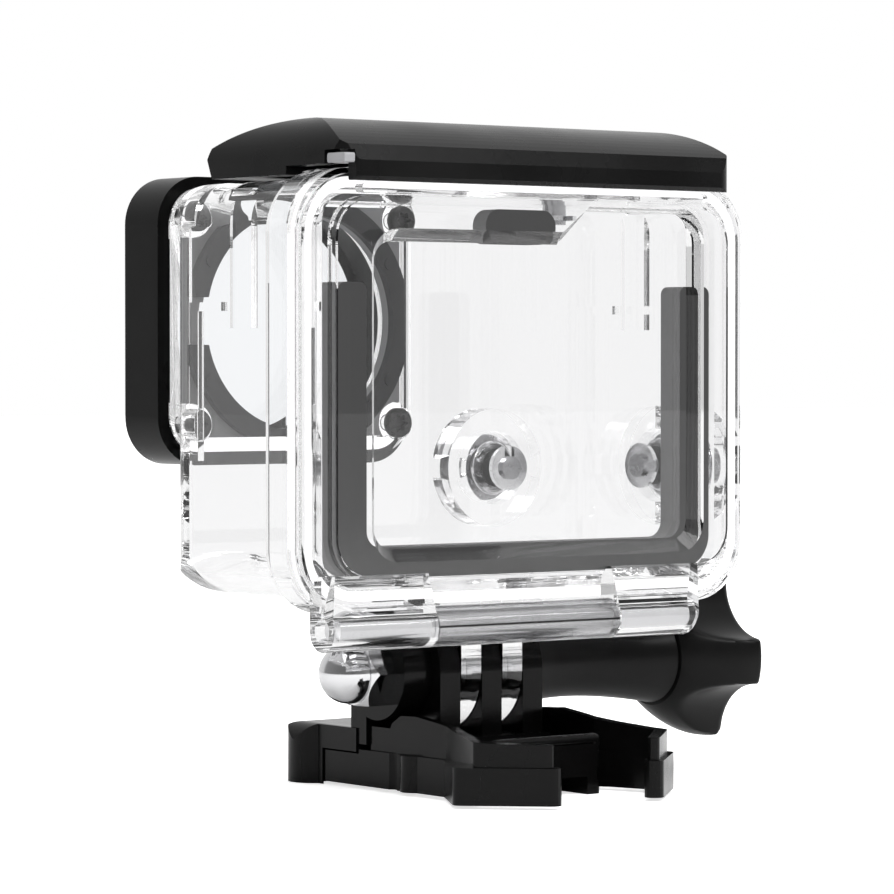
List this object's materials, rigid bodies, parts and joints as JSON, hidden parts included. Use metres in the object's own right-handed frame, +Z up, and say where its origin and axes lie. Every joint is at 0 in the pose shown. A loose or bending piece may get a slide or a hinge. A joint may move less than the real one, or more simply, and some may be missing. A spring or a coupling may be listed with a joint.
{
  "type": "action camera housing",
  "caption": "Empty clear waterproof housing for an action camera, with hinged rear door, top latch, push buttons and lens port, clamped to a black quick-release buckle.",
  "frame": {"origin": "on the ground, straight below the clamp screw's axis, midway across the three buckle prongs", "axes": "+Z up, lens port faces -Y, hinged door faces +Y, clamp screw along X with its nut on the +X side"},
  "size_m": [0.0782, 0.0553, 0.0825],
  "materials": {
    "clear_polycarbonate": "clear moulded polycarbonate",
    "black_bezel": "black, smooth satin",
    "port_glass": "flat polished glass",
    "black_rubber": "black silicone",
    "pale_silicone": "translucent white silicone",
    "pale_plastic": "light grey moulding",
    "grey_plate": "mid-grey moulded plastic",
    "dark_ring": "dark grey rubber",
    "black_steel": "black-oxide steel",
    "polished_steel": "bright stainless steel",
    "button_metal": "turned metal",
    "grey_rubber": "dark grey rubber, fine grain",
    "black_satin": "black satin moulding",
    "black_gloss": "black glossy nylon",
    "chrome": "chrome-plated",
    "black_knob": "black satin nylon"
  },
  "bodies": {
    "buckle": {"buckle_base": "black_gloss", "acorn_nut": "chrome"},
    "finger_left": {"buckle_finger_left": "black_gloss"},
    "finger_right": {"buckle_finger_right": "black_gloss"},
    "clamp_screw": {"thumb_knob": "black_knob", "thumb_bolt": "polished_steel", "thumb_washer": "polished_steel"},
    "housing": {"housing_shell": "clear_polycarbonate", "lens_bezel": "black_bezel", "lens_glass": "port_glass", "lens_gasket": "black_rubber", "lens_retainer": "grey_plate", "lens_ring": "dark_ring", "lens_screws": "black_steel", "hinge_pin": "polished_steel", "latch_pin": "polished_steel", "mode_spring": "polished_steel", "mode_seal": "black_rubber", "side_spring": "polished_steel", "side_seal": "black_rubber", "shutter_spring": "polished_steel", "shutter_seal": "black_rubber"},
    "mode_button": {"mode_button": "button_metal", "mode_clip": "polished_steel"},
    "side_button": {"side_button": "button_metal", "side_clip": "polished_steel"},
    "shutter_button": {"shutter_button": "button_metal", "shutter_clip": "polished_steel"},
    "door": {"door_panel": "clear_polycarbonate", "door_gasket": "pale_silicone", "door_pad_u": "grey_rubber", "door_pad_top": "grey_rubber"},
    "latch": {"latch_cover": "black_satin", "latch_link": "pale_plastic"}
  },
  "joints": [
    {"name": "housing_tilt", "type": "hinge", "parent": "buckle", "child": "housing", "pos_m": [0, 0, 0.0148], "axis": [1, 0, 0], "range_deg": [-20, 50]},
    {"name": "door_hinge", "type": "hinge", "parent": "housing", "child": "door", "pos_m": [0, 0.0172, 0.0215], "axis": [-1, 0, 0], "range_deg": [0, 88]},
    {"name": "latch_hinge", "type": "hinge", "parent": "housing", "child": "latch", "pos_m": [0.017, -0.0072, 0.0772], "axis": [1, 0, 0], "range_deg": [0, 115]},
    {"name": "mode_press", "type": "slide", "parent": "housing", "child": "mode_button", "axis": [0, 1, 0], "range_m": [0, 0.0015], "stiffness_N_per_m": 600, "springref_m": -0.001, "deforming": ["mode_spring"]},
    {"name": "side_press", "type": "slide", "parent": "housing", "child": "side_button", "axis": [1, 0, 0], "range_m": [0, 0.0015], "stiffness_N_per_m": 600, "springref_m": -0.001, "deforming": ["side_spring"]},
    {"name": "shutter_press", "type": "slide", "parent": "housing", "child": "shutter_button", "axis": [0, 0, -1], "range_m": [0, 0.0015], "stiffness_N_per_m": 600, "springref_m": -0.001, "deforming": ["shutter_spring"]},
    {"name": "clamp_turn", "type": "hinge", "parent": "buckle", "child": "clamp_screw", "pos_m": [0, 0, 0.0148], "axis": [1, 0, 0], "continuous": true},
    {"name": "finger_left_squeeze", "type": "hinge", "parent": "buckle", "child": "finger_left", "pos_m": [0.0099, -0.0112, 0.0024], "axis": [0, 0, 1], "range_deg": [0, 3.4], "stiffness_Nm_per_rad": 0.5, "springref_deg": -1.15},
    {"name": "finger_right_squeeze", "type": "hinge", "parent": "buckle", "child": "finger_right", "pos_m": [-0.0099, -0.0112, 0.0024], "axis": [0, 0, -1], "range_deg": [0, 3.4], "stiffness_Nm_per_rad": 0.5, "springref_deg": -1.15}
  ],
  "couplings": [
    {"joint": "latch_hinge", "follows": "door_hinge", "ratio": 1.3}
  ]
}
